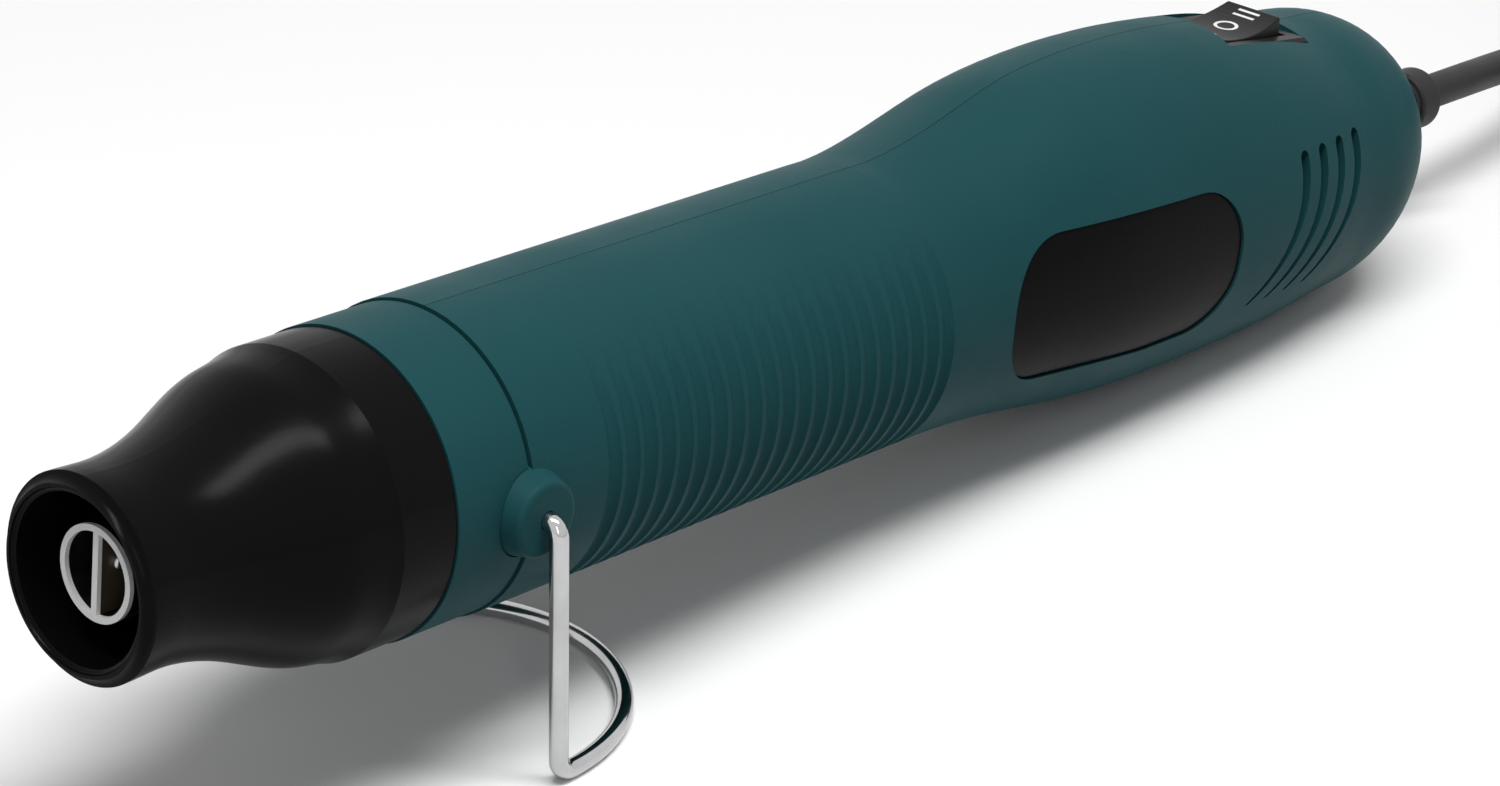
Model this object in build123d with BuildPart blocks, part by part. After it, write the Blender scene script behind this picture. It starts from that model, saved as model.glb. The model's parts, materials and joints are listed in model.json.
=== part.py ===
from build123d import *
import os
from math import asin, atan2, cos, degrees, hypot, pi, radians, sin, tan

os.makedirs("parts", exist_ok=True)

# Embossing heat tool: a hand-held hot-air gun that stands on a swinging wire stand and its own tail.
# It is drawn along the air axis: X runs from the nozzle to the cord, Z points to the switch, and
# x = 0 is the rear edge of the black nozzle. The last section stands it on the table.
# All sizes are in millimetres and degrees.

# ---------------------------------------------------------------- fits
fit_gap = 0.15
run_gap = 0.05
parting_gap = 0.1

# ---------------------------------------------------------------- moulded handle
grip_radius = 20.0
wall = 2.2
swell_start = 92.0
# Stations of the swell behind the grip: place, crown height, belly depth, half width
swell_stations = [
    (97.0, 20.1, 20.0, 20.0),
    (104.0, 21.1, 20.2, 20.2),
    (113.0, 23.3, 20.9, 20.7),
    (122.0, 25.7, 22.1, 21.2),
    (132.0, 27.0, 23.5, 21.7),
    (145.0, 27.4, 24.5, 22.0),
    (158.0, 26.8, 24.8, 22.0),
    (170.0, 25.5, 24.7, 21.9),
    (182.0, 23.6, 24.2, 21.5),
    (193.0, 21.3, 23.2, 20.7),
]
tail_end = 219.5
tail_shares = (0.30, 0.55, 0.75, 0.88, 0.96)
tail_roundness = 2.3

# Finger ribs, the ridges left between fading grooves on both flanks
rib_count = 20
rib_pitch = 3.23
rib_start = 28.2
groove_radius = 1.35
groove_depth = 0.85
groove_middle = -12.0
groove_spread = 64.0

# Air slots in the rear flanks
slot_count = 4
slot_pitch = 4.9
slot_top = (172.5, 9.8)
slot_bottom = (163.0, -11.0)
slot_bow = 3.3
slot_bow_rise = 1.5
slot_width = 2.1
slot_tip_width = 0.9

# Inlaid plate on the left flank, as corners with their rounding
plate_corners = [(105.4, -9.3), (105.4, 11.3), (156.2, 9.9), (156.2, -11.6), (138.0, -11.75)]
plate_rounds = [9.6, 10.4, 9.9, 8.4, 20.0]
plate_depth = 1.1
plate_thickness = 0.75

# ---------------------------------------------------------------- nozzle, collar and stand
mouth_x = -41.2
mouth_radius = 12.4
mouth_bore = 10.4
shoulder_x = -8.5
band_radius = 19.45
nozzle_wall = 1.6
collar_radius = 19.7
collar_end = 12.4
spigot_radius = 17.4
spigot_length = 9.0
boss_radius = 4.8
boss_face = 22.2
boss_taper = 14.0
boss_round = 0.9
wire_radius = 1.2
stand_leg = 34.6
stand_rake = 5.7
stand_half_width = 24.0
stand_depth = 26.4
stand_bend = 1.7
foot_bend = 2.2
stand_grip = 3.4

# ---------------------------------------------------------------- heater
sleeve_radius = 16.0
sleeve_wall = 0.6
sleeve_front = -5.0
sleeve_rear = 78.0
mica_thickness = 0.8
former_front = -1.0
former_rear = 66.0
former_half = 11.6
former_tab = 15.2
former_tab_length = 5.0
element_radius = 0.9
element_bend = 2.4
element_pitch = 7.0
element_turns = 7
core_radius = 5.9
core_wall = 0.6
guard_front = -38.0
guard_thickness = 0.6
guard_rim = 0.8
guard_bar = 0.9
rivet_radius = 0.9
cutout_size = (7.0, 6.0, 5.0)
fuse_radius = 1.8
fuse_length = 9.0

# ---------------------------------------------------------------- fan and motor
fan_front = 112.5
fan_depth = 9.0
fan_radius = 15.5
fan_hub_radius = 5.5
fan_blades = 7
blade_thickness = 1.2
duct_radius = 16.0
duct_wall = 1.2
duct_front = 110.0
duct_rear = 127.0
spoke_width = 5.0
bracket_plate = 2.0
motor_radius = 12.2
motor_length = 29.0
can_wall = 0.8
magnet_thickness = 2.2
magnet_length = 18.0
armature_radius = 8.7
armature_length = 16.0
shaft_radius = 1.0
end_cap_thickness = 2.5
board_radius = 11.0
board_thickness = 1.6
diode_radius = 1.35
diode_length = 5.0
cradle_thickness = 2.4
cradle_width = 7.0

# ---------------------------------------------------------------- switch
switch_x = 178.7
switch_z = 22.4
switch_slope = 6.7
bezel_length = 21.0
bezel_width = 15.0
bezel_thickness = 1.6
switch_body_length = 18.6
switch_body_width = 12.8
switch_body_depth = 14.0
rocker_opening_length = 15.8
rocker_width = 10.2
rocker_end_width = 9.3
rocker_pivot_depth = 3.0
rocker_throw = 10.0
terminal_width = 4.8
terminal_thickness = 0.8
terminal_length = 7.0
terminal_pitch = 5.8

# ---------------------------------------------------------------- cord and plug
cord_radius = 2.75
relief_radius = 4.2
relief_collar_radius = 4.9
relief_end = 236.0
relief_flange_radius = 6.0
clamp_x = 203.0
clamp_length = 6.0

cord_straight = 33.0
coil_radius = 34.0
coil_room = 0.5
coil_steps = 3
coil_last_radius = 25.0
coil_clearance = 0.3
tie_thickness = 0.9
tie_width = 8.0
tie_room = 2.4
tie_rounding = 3.0
plug_length = 32.0
plug_width = 24.0
plug_height = 19.0
blade_spacing = 12.7
blade_metal = 1.5
blade_width = 6.35
blade_length = 16.0

# ---------------------------------------------------------------- screws of the handle
screw_places = [(98.0, 13.3), (98.0, -13.3), (140.0, 19.0), (146.0, -18.3), (196.0, -13.0)]
pillar_radius = 4.2
screw_radius = 1.4
screw_head_radius = 2.7
screw_head_height = 1.8
screw_seat = 5.0
screw_depth = 9.0


def superellipse(share, roundness):
    """Height of a rounded end at a share of its length."""
    return (1 - share ** roundness) ** (1 / roundness)


def swell_sections(inset):
    """Stations of the swell and its rounded tail, set in from the outer surface."""
    rows = [(swell_start, grip_radius, grip_radius, grip_radius)] + swell_stations
    start, crown, belly, side = rows[-1]
    run = tail_end - start - inset
    sections = [(x, top - inset, bottom - inset, half - inset) for x, top, bottom, half in rows]
    for share in tail_shares:
        size = superellipse(share, tail_roundness)
        x = start + run * share / tail_shares[-1]
        sections.append((x, (crown - inset) * size, (belly - inset) * size, (side - inset) * size))
    return sections


def handle_solid(inset, front):
    """The grip from its front and the swell behind it, set in by a wall or a recess."""
    with BuildPart() as solid:
        for x, crown, belly, side in swell_sections(inset):
            with BuildSketch(Plane.YZ.offset(x)):
                with BuildLine():
                    EllipticalCenterArc((0, 0), side, crown, start_angle=0, arc_size=90)
                    EllipticalCenterArc((0, 0), side, crown, start_angle=90, arc_size=90)
                    EllipticalCenterArc((0, 0), side, belly, start_angle=180, arc_size=90)
                    EllipticalCenterArc((0, 0), side, belly, start_angle=270, arc_size=90)
                make_face()
        loft()
        with BuildSketch(Plane.YZ.offset(front)):
            Circle(grip_radius - inset)
        extrude(amount=swell_start - front)
    return solid


# ---------------------------------------------------------------- places that follow from the sizes
collar_joint = collar_end + fit_gap
stand_x = collar_joint
spigot_bore = spigot_radius - 1.1
sleeve_seat = sleeve_radius + fit_gap
ring_places = [32.0, sleeve_rear - 8]
duct_outer = duct_radius + duct_wall
duct_places = [duct_front + 2, duct_rear - 5]
motor_front = duct_rear + fit_gap
motor_rear = motor_front + motor_length
fan_x = fan_front + fan_depth / 2
cradle_places = [motor_front + 4, motor_rear - 7]
switch_plane = Plane(
    origin=(switch_x, 0, switch_z),
    x_dir=(cos(radians(switch_slope)), 0, -sin(radians(switch_slope))),
    z_dir=(sin(radians(switch_slope)), 0, cos(radians(switch_slope))),
)
seat_plane = switch_plane.offset(-bezel_thickness)
switch_axis = Axis(switch_plane.origin, switch_plane.z_dir)
boss_hole = 3.0
motor_screw_radius = 1.25
motor_screws = [(0, 8.0), (0, -8.0)]
terminal_z = 7.5
board_gap = 3.0
clamp_thickness = 2.0
core_wire = 1.0
slot_rows = 4
clamp_middle = clamp_x + clamp_length / 2
clamp_post_z = cord_radius + 4.0
clamp_post_radius = 2.2
clamp_screw_radius = 1.0
clamp_posts = [(clamp_middle, clamp_post_z), (clamp_middle, -clamp_post_z)]

outer = handle_solid(0, collar_joint)
hollow = handle_solid(wall, collar_joint + wall)
middle = handle_solid(wall / 2, collar_joint)

# ================================================================ ribs, cradles and pillars inside
with BuildPart() as framework:
    # rings that carry the mica sleeve in the grip
    for x in ring_places:
        with BuildSketch(Plane.YZ.offset(x)):
            Circle(grip_radius)
            Circle(sleeve_seat, mode=Mode.SUBTRACT)
        extrude(amount=cradle_thickness)
    # walls round the duct of the fan
    for x in duct_places:
        with BuildSketch(Plane.YZ.offset(x)):
            Circle(2 * grip_radius)
            Circle(duct_outer + fit_gap, mode=Mode.SUBTRACT)
        extrude(amount=cradle_thickness)
    # crossed cradles that hold the motor and let the air pass
    for x in cradle_places:
        with BuildSketch(Plane.YZ.offset(x)):
            Rectangle(4 * grip_radius, cradle_width)
            Rectangle(cradle_width, 4 * grip_radius)
            Circle(motor_radius + fit_gap, mode=Mode.SUBTRACT)
        extrude(amount=cradle_thickness)
    # pillars of the screws
    with BuildSketch(Plane.XZ):
        with Locations(*screw_places):
            Circle(pillar_radius)
    extrude(amount=2 * grip_radius, both=True)
    # seat of the switch, below the floor of its pocket
    with BuildSketch(seat_plane.offset(-wall)):
        Rectangle(bezel_length + 5, bezel_width + 5)
    extrude(amount=wall + 2 * bezel_thickness)
    # saddle under the clamp of the cord, on the left
    with BuildSketch(Plane.XZ.offset(cord_radius)):
        with Locations((clamp_middle, 0)):
            Rectangle(clamp_length, 2 * (clamp_post_z + clamp_post_radius))
    extrude(amount=grip_radius)
    # wall at the tail that stiffens the hole of the strain relief
    with BuildSketch(Plane.YZ.offset(tail_end - 2 * wall)):
        Circle(relief_flange_radius + 2)
    extrude(amount=2 * wall)
    add(middle.part, mode=Mode.INTERSECT)

# ================================================================ handle shell, before it is split
groove_offset = groove_depth / (1 - cos(radians(groove_spread)))
groove_ring = grip_radius - groove_depth + groove_offset + groove_radius
groove_y = groove_offset * cos(radians(groove_middle))
groove_z = groove_offset * sin(radians(groove_middle))
groove_places = [rib_start + (i - 0.5) * rib_pitch for i in range(rib_count + 1)]

with BuildSketch() as slot_outline:
    # drawn flat: first axis along the tool, second one up the flank
    with BuildLine():
        top_x, top_z = slot_top
        end_x, end_z = slot_bottom
        bow_x = (top_x + end_x) / 2 + slot_bow
        bow_z = (top_z + end_z) / 2 + slot_bow_rise
        half_top = slot_width / 2
        half_tip = slot_tip_width / 2
        half_bow = 0.9 * half_top
        back = ThreePointArc(
            (top_x + half_top, top_z), (bow_x + half_bow, bow_z), (end_x + half_tip, end_z)
        )
        Line(back @ 1, (end_x - half_tip, end_z))
        front = ThreePointArc(
            (end_x - half_tip, end_z), (bow_x - half_bow, bow_z), (top_x - half_top, top_z)
        )
        ThreePointArc(front @ 1, (top_x, top_z + half_top), back @ 0)
    make_face()

with BuildPart() as slot_cutter:
    with BuildSketch(Plane.XZ.offset(0.4 * grip_radius)):
        with Locations(*[(i * slot_pitch, 0) for i in range(slot_count)]):
            add(slot_outline.sketch)
    extrude(amount=2 * grip_radius)
    mirror(about=Plane.XZ)

with BuildSketch() as plate_outline:
    # drawn flat: first axis along the tool, second one up the flank
    with BuildLine():
        Polyline(*plate_corners, close=True)
    make_face()
    for corner, rounding in zip(plate_corners, plate_rounds):
        fillet(plate_outline.vertices().sort_by_distance(corner)[0], radius=rounding)

with BuildPart() as plate_prism:
    with BuildSketch(Plane.XZ):
        add(plate_outline.sketch)
    extrude(amount=2 * grip_radius)

with BuildPart() as plate_cutter:
    with BuildSketch(Plane.XZ):
        add(plate_outline.sketch)
        offset(amount=fit_gap)
    extrude(amount=2 * grip_radius)
    add(handle_solid(plate_depth, collar_joint).part, mode=Mode.SUBTRACT)

with BuildPart() as shell:
    add(outer.part)
    # spigot that carries the collar
    with BuildSketch(Plane.YZ.offset(spigot_length + 2 * fit_gap)):
        Circle(spigot_radius)
    extrude(amount=collar_joint - spigot_length)
    add(hollow.part, mode=Mode.SUBTRACT)
    with BuildSketch(Plane.YZ):
        Circle(spigot_bore)
    extrude(amount=collar_joint + wall, mode=Mode.SUBTRACT)
    add(framework.part)
    # bosses of the stand on the joint with the collar
    for side in (1, -1):
        boss_plane = Plane((stand_x, -side * boss_face, 0), x_dir=(1, 0, 0), z_dir=(0, side, 0))
        with BuildSketch(boss_plane):
            Circle(boss_radius)
        extrude(amount=boss_face - grip_radius + 2, taper=-boss_taper)
        fillet(shell.edges().filter_by(GeomType.CIRCLE).sort_by(Axis((0, 0, 0), (0, -side, 0)))[-1], radius=boss_round)
        with BuildSketch(boss_plane):
            Circle(wire_radius + run_gap)
        extrude(amount=stand_grip + 2 * fit_gap, mode=Mode.SUBTRACT)
    with BuildSketch(Plane.YZ):
        Circle(spigot_radius + fit_gap)
    extrude(amount=spigot_length + fit_gap, mode=Mode.SUBTRACT)
    # finger grooves, deepest at the middle of each flank
    for side in (1, -1):
        with Locations(*[(x, side * groove_y, -groove_z) for x in groove_places]):
            Torus(groove_ring, groove_radius, rotation=(0, 90, 0), mode=Mode.SUBTRACT)
    add(slot_cutter.part, mode=Mode.SUBTRACT)
    add(plate_cutter.part, mode=Mode.SUBTRACT)
    # pocket of the switch and the hole for its body
    with BuildSketch(seat_plane):
        Rectangle(bezel_length + 4 * fit_gap, bezel_width + 2 * fit_gap)
    extrude(amount=3 * bezel_thickness, mode=Mode.SUBTRACT)
    with BuildSketch(seat_plane):
        Rectangle(switch_body_length + 2 * fit_gap, switch_body_width + 2 * fit_gap)
    extrude(amount=-2 * wall, mode=Mode.SUBTRACT)
    # hole of the strain relief
    with BuildSketch(Plane.YZ.offset(tail_end - 3 * wall)):
        Circle(relief_radius + run_gap)
    extrude(amount=4 * wall, mode=Mode.SUBTRACT)

# ================================================================ handle halves
with BuildPart() as housing_left:
    add(shell.part)
    split(bisect_by=Plane.XZ.offset(parting_gap / 2), keep=Keep.TOP)
    # posts of the cord's clamp, which cross to the right half
    with BuildSketch(Plane.XZ.offset(-cord_radius)):
        with Locations(*clamp_posts):
            Circle(clamp_post_radius)
    extrude(amount=3 * cord_radius)
    with BuildSketch(Plane.XZ.offset(-cord_radius)):
        with Locations(*clamp_posts):
            Circle(clamp_screw_radius + run_gap)
    extrude(amount=2 * cord_radius, mode=Mode.SUBTRACT)
    # pilot holes of the handle's screws
    with BuildSketch(Plane.XZ):
        with Locations(*screw_places):
            Circle(screw_radius + run_gap)
    extrude(amount=screw_depth + fit_gap, mode=Mode.SUBTRACT)

with BuildPart() as housing_right:
    add(shell.part)
    split(bisect_by=Plane.XZ.offset(-parting_gap / 2), keep=Keep.BOTTOM)
    # through holes, and counterbores that hold the heads of the screws
    with BuildSketch(Plane.XZ):
        with Locations(*screw_places):
            Circle(screw_radius + fit_gap)
    extrude(amount=-2 * grip_radius, mode=Mode.SUBTRACT)
    with BuildSketch(Plane.XZ.offset(-screw_seat)):
        with Locations(*screw_places):
            Circle(screw_head_radius + fit_gap)
    extrude(amount=-2 * grip_radius, mode=Mode.SUBTRACT)


with BuildPart() as housing_screws:
    # pan heads on the seats of the right half, shanks into the pillars of the left half
    with BuildSketch(Plane.XZ.offset(-screw_seat)):
        with Locations(*screw_places):
            Circle(screw_head_radius)
    extrude(amount=-screw_head_height)
    fillet(housing_screws.edges().filter_by(GeomType.CIRCLE).group_by(Axis.Y)[-1], radius=0.8)
    with BuildSketch(Plane.XZ.offset(-screw_seat)):
        with Locations(*screw_places):
            Circle(screw_radius)
    extrude(amount=screw_seat + screw_depth)

with BuildPart() as label_plate:
    # smooth dark inlay that follows the flank
    add(plate_prism.part)
    add(handle_solid(plate_depth - plate_thickness, collar_joint).part, mode=Mode.INTERSECT)
    add(handle_solid(plate_depth - run_gap, collar_joint).part, mode=Mode.SUBTRACT)

# ================================================================ collar and nozzle
with BuildPart() as front_collar:
    with BuildSketch(Plane.YZ.offset(fit_gap)):
        Circle(collar_radius)
        Circle(spigot_radius + fit_gap, mode=Mode.SUBTRACT)
    extrude(amount=collar_end - fit_gap)
    chamfer(front_collar.edges().group_by(Axis.X)[-1].sort_by(SortBy.LENGTH)[-1], length=0.3)
    # notches that follow the bosses of the stand
    for side in (1, -1):
        with BuildSketch(Plane((stand_x, -side * boss_face, 0), x_dir=(1, 0, 0), z_dir=(0, side, 0))):
            Circle(boss_radius + fit_gap)
        extrude(amount=boss_face - spigot_radius + 2, taper=-boss_taper, mode=Mode.SUBTRACT)

with BuildPart() as nozzle:
    with BuildSketch(Plane.XZ) as nozzle_profile:
        with BuildLine():
            neck_x = mouth_x + 6
            bead = mouth_radius + 0.3
            lip_x = mouth_x + 1.2
            mouth_lip = RadiusArc((mouth_x, mouth_radius - 1.0), (lip_x, bead), -1.3)
            flare = Spline(
                (lip_x, bead),
                (neck_x, mouth_radius + 0.1),
                (-22.5, 15.0),
                (-14.0, 18.3),
                (shoulder_x, band_radius),
                tangents=[(1, 0.0), (1, 0.32)],
            )
            Polyline(
                (shoulder_x, band_radius),
                (0, band_radius),
                (0, spigot_radius),
                (spigot_length, spigot_radius),
                (spigot_length, sleeve_seat),
                (sleeve_front - 0.5, sleeve_seat),
            )
            throat = Spline(
                (sleeve_front - 0.5, sleeve_seat),
                (-22.5, 15.0 - nozzle_wall - 0.5),
                (neck_x, mouth_bore),
                (mouth_x + 0.6, mouth_bore),
                tangents=[(-1, -0.1), (-1, 0)],
            )
            RadiusArc(throat @ 1, (mouth_x, mouth_bore + 0.6), -0.6)
            Line((mouth_x, mouth_bore + 0.6), (mouth_x, mouth_radius - 1.0))
        make_face()
    revolve(axis=Axis.X)

# ================================================================ standing attitude
# The table touches the wire's foot and the belly, so it lies on the tangent from one to the other.
foot_x = stand_x + stand_leg * sin(radians(stand_rake))
foot_z = -stand_leg * cos(radians(stand_rake))
belly_points = [
    edge @ (i / 40)
    for edge in outer.part.edges().filter_by(lambda e: abs(e.center().Y) < 0.01 and e.center().Z < -grip_radius)
    for i in range(41)
]
lean = min(
    degrees(
        atan2(point.Z - foot_z, point.X - foot_x)
        + asin(wire_radius / hypot(point.Z - foot_z, point.X - foot_x))
    )
    for point in belly_points
)
print("lean of the air axis", round(lean, 3))

# ================================================================ wire stand
with BuildPart() as stand:
    with BuildLine() as stand_path:
        leg_down = Vector(sin(radians(stand_rake)), 0, -cos(radians(stand_rake)))
        foot_back = Vector(cos(radians(lean)), 0, sin(radians(lean)))
        pivot = Vector(stand_x, 0, 0)
        foot_front = pivot + leg_down * stand_leg
        arc_reach = stand_depth - stand_half_width
        grip_y = boss_face - stand_grip
        left = Vector(0, -1, 0)
        for side in (1, -1):
            FilletPolyline(
                pivot + left * grip_y * side,
                pivot + left * stand_half_width * side,
                foot_front + left * stand_half_width * side,
                foot_front + left * stand_half_width * side + foot_back * arc_reach,
                radius=[stand_bend, foot_bend],
            )
        ThreePointArc(
            foot_front + left * stand_half_width + foot_back * arc_reach,
            foot_front + foot_back * stand_depth,
            foot_front - left * stand_half_width + foot_back * arc_reach,
        )
    with BuildSketch(Plane(pivot + left * grip_y, z_dir=left)):
        Circle(wire_radius)
    sweep(path=stand_path.wires()[0])

# ================================================================ heater
with BuildPart() as mica_sleeve:
    with BuildSketch(Plane.YZ.offset(sleeve_front)):
        Circle(sleeve_radius)
        Circle(sleeve_radius - sleeve_wall, mode=Mode.SUBTRACT)
    extrude(amount=sleeve_rear - sleeve_front)

former_length = former_rear - former_front
tongue_half = core_radius - core_wall - fit_gap
tongue_front = guard_front + guard_thickness + fit_gap

with BuildPart() as former_upright:
    # upright mica card: a tongue that carries the core tube, a coil zone and two wide ends
    with BuildSketch(Plane.XZ):
        with Locations(((former_front + former_rear) / 2, 0)):
            Rectangle(former_length, 2 * former_half)
        for x in (former_front + former_tab_length / 2, former_rear - former_tab_length / 2):
            with Locations((x, 0)):
                Rectangle(former_tab_length, 2 * former_tab)
        with Locations(((tongue_front + former_front) / 2, 0)):
            Rectangle(former_front - tongue_front, 2 * tongue_half)
        with Locations((former_rear - former_length / 4, 0)):
            Rectangle(former_length / 2 + fit_gap, mica_thickness + 2 * run_gap, mode=Mode.SUBTRACT)
    extrude(amount=mica_thickness / 2, both=True)

with BuildPart() as former_level:
    # level card, slotted halfway into the upright one
    with BuildSketch(Plane.XY):
        with Locations(((former_front + former_rear) / 2, 0)):
            Rectangle(former_length, 2 * former_half)
        for x in (former_front + former_tab_length / 2, former_rear - former_tab_length / 2):
            with Locations((x, 0)):
                Rectangle(former_tab_length, 2 * former_tab)
        with Locations((former_front + former_length / 4, 0)):
            Rectangle(former_length / 2 + fit_gap, mica_thickness + 2 * run_gap, mode=Mode.SUBTRACT)
    extrude(amount=mica_thickness / 2, both=True)

element_start = former_front + former_tab_length + element_radius + 2
# the bend passes inside its corner, so the corner stands out by that much from the card's edge
corner_reach = former_half + element_radius + run_gap + (2 ** 0.5 - 1) * element_bend
with BuildPart() as heating_element:
    # resistance wire wound over the edges of the crossed cards
    with BuildLine() as element_path:
        FilletPolyline(
            *[
                (
                    element_start + i * element_pitch / 4,
                    corner_reach * cos(i * pi / 2),
                    corner_reach * sin(i * pi / 2),
                )
                for i in range(4 * element_turns + 1)
            ],
            radius=element_bend,
        )
    with BuildSketch(Plane(element_path.line @ 0, z_dir=element_path.line % 0)):
        Circle(element_radius)
    sweep(path=element_path.wires()[0])

with BuildPart() as core_tube:
    with BuildSketch(Plane.YZ.offset(guard_front + guard_thickness)):
        Circle(core_radius)
        Circle(core_radius - core_wall, mode=Mode.SUBTRACT)
    extrude(amount=former_front - guard_front - guard_thickness)

with BuildPart() as core_guard:
    # pale ring with one upright bar, on the front end of the core tube
    with BuildSketch(Plane.YZ.offset(guard_front)):
        Circle(core_radius)
        Circle(core_radius - guard_rim, mode=Mode.SUBTRACT)
        Rectangle(guard_bar, 2 * core_radius - guard_rim)
    extrude(amount=guard_thickness)

with BuildPart() as core_rivet:
    with BuildSketch(Plane.XZ.offset(mica_thickness / 2)):
        with Locations((tongue_front + 2.5 * rivet_radius, rivet_radius)):
            Circle(rivet_radius)
    extrude(amount=rivet_radius)
    fillet(core_rivet.edges().sort_by(Axis.Y)[0], radius=0.6 * rivet_radius)

cutout_length, cutout_width, cutout_height = cutout_size
with BuildPart() as thermal_cutout:
    # bimetal cut-out lying in the upper right corner of the crossed cards
    with BuildSketch(Plane.XY.offset(mica_thickness / 2)):
        with Locations((former_rear - former_tab_length - cutout_length / 2, mica_thickness / 2 + cutout_width / 2)):
            Rectangle(cutout_length, cutout_width)
    extrude(amount=cutout_height)
    fillet(thermal_cutout.edges().filter_by(Axis.Z), radius=0.8)

with BuildPart() as thermal_fuse:
    with BuildSketch(Plane.YZ.offset(former_rear - former_tab_length - fuse_length)):
        with Locations((-mica_thickness / 2 - 2 * fuse_radius, -mica_thickness / 2 - fuse_radius)):
            Circle(fuse_radius)
    extrude(amount=fuse_length)
    chamfer(thermal_fuse.edges().group_by(Axis.X)[-1], length=fuse_radius / 2)

with BuildPart() as heater_disc:
    # mica disc across the rear of the cards, open between its spokes
    with BuildSketch(Plane.YZ.offset(former_rear)):
        Circle(former_tab)
        with PolarLocations(former_tab / 2, 4, start_angle=45):
            Circle(former_tab / 4, mode=Mode.SUBTRACT)
    extrude(amount=mica_thickness)

# ================================================================ fan and motor
with BuildPart() as motor_bracket:
    # duct of the fan, with a spoked plate behind it that holds the motor
    with BuildSketch(Plane.YZ.offset(duct_front)):
        Circle(duct_outer)
        Circle(duct_radius, mode=Mode.SUBTRACT)
    extrude(amount=duct_rear - duct_front)
    with BuildSketch(Plane.YZ.offset(duct_rear - bracket_plate)):
        Circle(motor_radius - 1)
        Rectangle(2 * duct_radius + duct_wall, spoke_width)
        Rectangle(spoke_width, 2 * duct_radius + duct_wall)
        Circle(boss_hole, mode=Mode.SUBTRACT)
        with Locations(*motor_screws):
            Circle(motor_screw_radius + run_gap, mode=Mode.SUBTRACT)
    extrude(amount=bracket_plate)

with BuildPart() as bracket_screws:
    with BuildSketch(Plane.YZ.offset(duct_rear - bracket_plate)):
        with Locations(*motor_screws):
            Circle(1.8 * motor_screw_radius)
    extrude(amount=-1.2 * motor_screw_radius)
    with BuildSketch(Plane.YZ.offset(duct_rear - bracket_plate)):
        with Locations(*motor_screws):
            Circle(motor_screw_radius)
    extrude(amount=bracket_plate + fit_gap + 2 * can_wall)

with BuildPart() as motor_can:
    # steel can, closed at the front, with the bearing's boss in the bracket
    with BuildSketch(Plane.YZ.offset(motor_front)):
        Circle(motor_radius)
    extrude(amount=motor_length - end_cap_thickness)
    with BuildSketch(Plane.YZ.offset(motor_front + can_wall)):
        Circle(motor_radius - can_wall)
    extrude(amount=motor_length, mode=Mode.SUBTRACT)
    with BuildSketch(Plane.YZ.offset(motor_front)):
        Circle(boss_hole - fit_gap)
    extrude(amount=-bracket_plate)
    with BuildSketch(Plane.YZ.offset(motor_front - 2 * bracket_plate)):
        Circle(shaft_radius + run_gap)
        with Locations(*motor_screws):
            Circle(motor_screw_radius + run_gap)
    extrude(amount=3 * bracket_plate, mode=Mode.SUBTRACT)

magnet_radius = motor_radius - can_wall - run_gap
magnet_front = motor_front + 6.0
with BuildPart() as motor_magnets:
    with BuildSketch(Plane.YZ.offset(magnet_front)):
        Circle(magnet_radius)
        Circle(magnet_radius - magnet_thickness, mode=Mode.SUBTRACT)
        Rectangle(motor_radius, 2 * motor_radius, mode=Mode.SUBTRACT)
    extrude(amount=magnet_length)

armature_front = magnet_front + (magnet_length - armature_length) / 2
with BuildPart() as armature:
    # three slotted poles and the commutator behind them
    with BuildSketch(Plane.YZ.offset(armature_front)):
        Circle(armature_radius)
        with PolarLocations(armature_radius - 1.2, 3):
            Circle(3.2, mode=Mode.SUBTRACT)
        Circle(shaft_radius + run_gap, mode=Mode.SUBTRACT)
    extrude(amount=armature_length)
    with BuildSketch(Plane.YZ.offset(armature_front + armature_length)):
        Circle(3 * shaft_radius)
        Circle(shaft_radius + run_gap, mode=Mode.SUBTRACT)
    extrude(amount=2.0)

with BuildPart() as motor_end_cap:
    with BuildSketch(Plane.YZ.offset(motor_rear - end_cap_thickness)):
        Circle(motor_radius)
        Circle(shaft_radius + run_gap, mode=Mode.SUBTRACT)
    extrude(amount=end_cap_thickness)
    with BuildSketch(Plane.YZ.offset(motor_rear)):
        with Locations((0, terminal_z), (0, -terminal_z)):
            Rectangle(3.0, 0.6)
    extrude(amount=board_gap + board_thickness + 1.0)

with BuildPart() as motor_shaft:
    with BuildSketch(Plane.YZ.offset(fan_front - 1)):
        Circle(shaft_radius)
    extrude(amount=motor_rear - fan_front)
    chamfer(motor_shaft.edges().group_by(Axis.X)[0], length=0.3)

with BuildPart() as blade:
    # one twisted blade, from inside the hub to the running gap in the duct
    for reach, chord, pitch_angle in (
        (0.8 * fan_hub_radius, 9.0, 48.0),
        (fan_radius, 11.0, 24.0),
    ):
        with BuildSketch(Plane((fan_x, 0, reach), x_dir=(0, 1, 0), z_dir=(0, 0, 1))):
            Rectangle(chord, blade_thickness, rotation=pitch_angle)
    loft(ruled=True)

with BuildPart() as fan:
    with BuildSketch(Plane.YZ.offset(fan_front)):
        Circle(fan_hub_radius)
    extrude(amount=fan_depth)
    fillet(fan.edges().group_by(Axis.X)[0], radius=1.5)
    for i in range(fan_blades):
        add(blade.part.rotate(Axis.X, 360 * i / fan_blades))
    with BuildSketch(Plane.YZ.offset(fan_front - fan_depth)):
        Circle(fan_radius)
        Circle(shaft_radius + 0.01, mode=Mode.SUBTRACT)
    extrude(amount=3 * fan_depth, mode=Mode.INTERSECT)

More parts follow.
